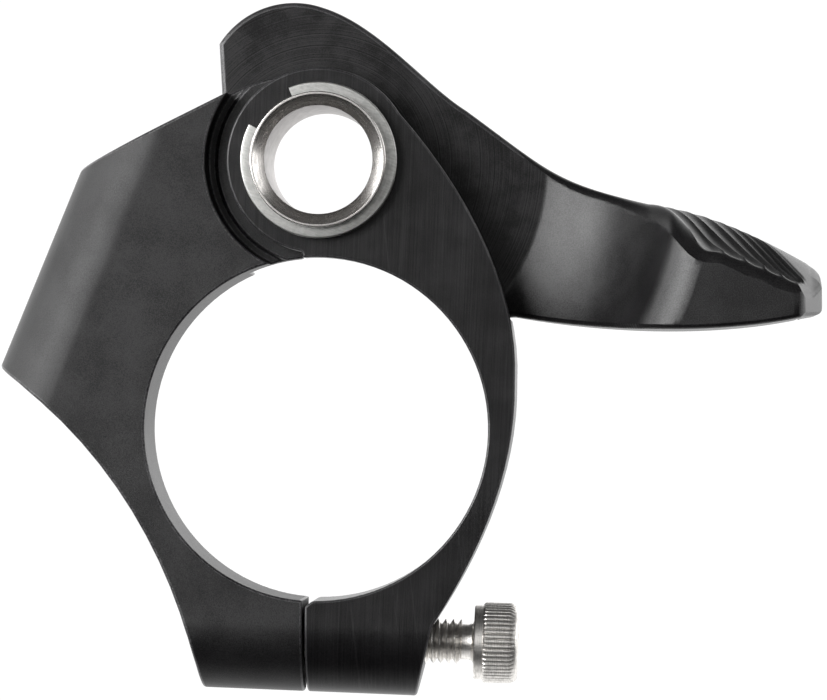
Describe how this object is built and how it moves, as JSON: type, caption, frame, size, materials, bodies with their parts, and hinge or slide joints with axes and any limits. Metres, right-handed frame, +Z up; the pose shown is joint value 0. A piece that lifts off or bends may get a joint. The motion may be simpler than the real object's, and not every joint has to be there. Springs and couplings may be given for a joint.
{
  "type": "thumb lever remote",
  "caption": "Thumb lever with a grooved paddle on a hinged handlebar clamp, turning on a hollow axle, with a knurled clamp bolt and a cable boss.",
  "frame": {"origin": "centre of the handlebar bore, half way along the clamp", "axes": "+Y along the handlebar bore, away from the snap ring end; +Z up; +X towards the thumb paddle"},
  "size_m": [0.0535, 0.0159, 0.0452],
  "materials": {
    "body_black": "satin black anodised",
    "arm_black": "matte black anodised",
    "lever_black": "bead-blasted black anodised",
    "axle_steel": "turned stainless steel",
    "ring_steel": "plain stainless steel",
    "bolt_steel": "plain stainless steel",
    "bush_polymer": "moulded bearing polymer",
    "shim_polymer": "smooth PTFE"
  },
  "bodies": {
    "body": {"main_body": "body_black", "hollow_axle": "axle_steel", "retaining_ring": "ring_steel", "hinge_shim": "shim_polymer", "spring_washer": "ring_steel"},
    "arm": {"clamp_arm": "arm_black"},
    "lever": {"thumb_lever": "lever_black", "lever_bush_front": "bush_polymer", "lever_bush_rear": "bush_polymer"},
    "bolt": {"clamp_bolt": "bolt_steel"},
    "pinch": {"cable_pinch_screw": "bolt_steel", "cable_pinch_washer": "ring_steel"}
  },
  "joints": [
    {"name": "clamp_hinge", "type": "hinge", "parent": "body", "child": "arm", "pos_m": [0.0002, 0, 0.01735], "axis": [0, -1, 0], "range_deg": [-0.25, 50]},
    {"name": "lever_pivot", "type": "hinge", "parent": "arm", "child": "lever", "pos_m": [0.0002, 0, 0.01735], "axis": [0, 1, 0], "range_deg": [-35, 0]},
    {"name": "clamp_bolt_travel", "type": "slide", "parent": "arm", "child": "bolt", "axis": [0.9995, 0, -0.0314], "range_m": [-0.0015, 0.003]},
    {"name": "pinch_screw_travel", "type": "slide", "parent": "lever", "child": "pinch", "axis": [0, 1, 0], "range_m": [0, 0.001]}
  ]
}
